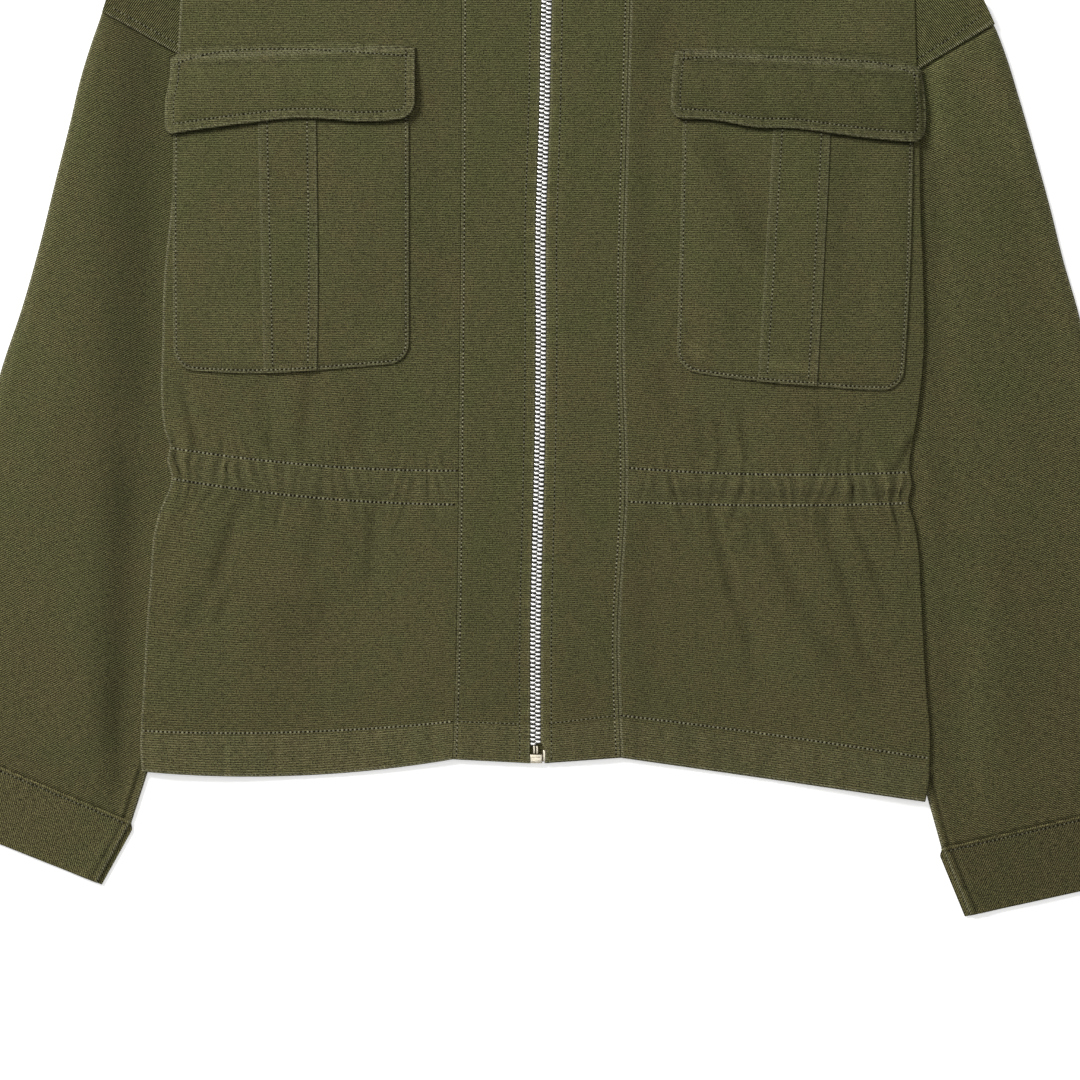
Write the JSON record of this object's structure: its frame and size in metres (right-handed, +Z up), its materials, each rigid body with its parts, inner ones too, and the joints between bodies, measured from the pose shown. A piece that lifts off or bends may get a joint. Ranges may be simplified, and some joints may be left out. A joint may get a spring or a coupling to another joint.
{
  "type": "field jacket",
  "caption": "Zipped cotton field jacket laid out flat, with flapped chest pockets, a gathered waist channel, long sleeves with cuffs and a stand collar.",
  "frame": {"origin": "middle of the jacket's outline, on the surface that it lies on", "axes": "+X towards the wearer's left (the right of the picture), +Y towards the neck, +Z up off the surface"},
  "size_m": [0.8648, 0.7472, 0.0124],
  "materials": {
    "canvas": "olive cotton canvas, matt, with faded seam edges",
    "zip_tape": "woven cotton tape, matt",
    "zip_metal": "nickel, slightly worn"
  },
  "bodies": {
    "jacket": {"back": "canvas", "front_right": "canvas", "front_left": "canvas", "band_right": "canvas", "band_left": "canvas", "shoulder_right": "canvas", "shoulder_left": "canvas", "sleeve_right": "canvas", "sleeve_left": "canvas", "cuff_right": "canvas", "cuff_left": "canvas", "pocket_right": "canvas", "pocket_left": "canvas", "pleat_right": "canvas", "pleat_left": "canvas", "flap_right": "canvas", "flap_left": "canvas", "collar": "canvas", "tape_right": "zip_tape", "tape_left": "zip_tape", "teeth_right": "zip_metal", "teeth_left": "zip_metal", "zip_box": "zip_metal", "zip_lug": "zip_metal", "zip_pin": "zip_metal", "zip_slider": "zip_metal"},
    "pull": {"zip_pull": "zip_metal"}
  },
  "joints": [
    {"name": "pull_tab", "type": "hinge", "parent": "jacket", "child": "pull", "pos_m": [0.00808, 0.30303, 0.00695], "axis": [-1, 0, 0], "range_deg": [0, 165]}
  ]
}
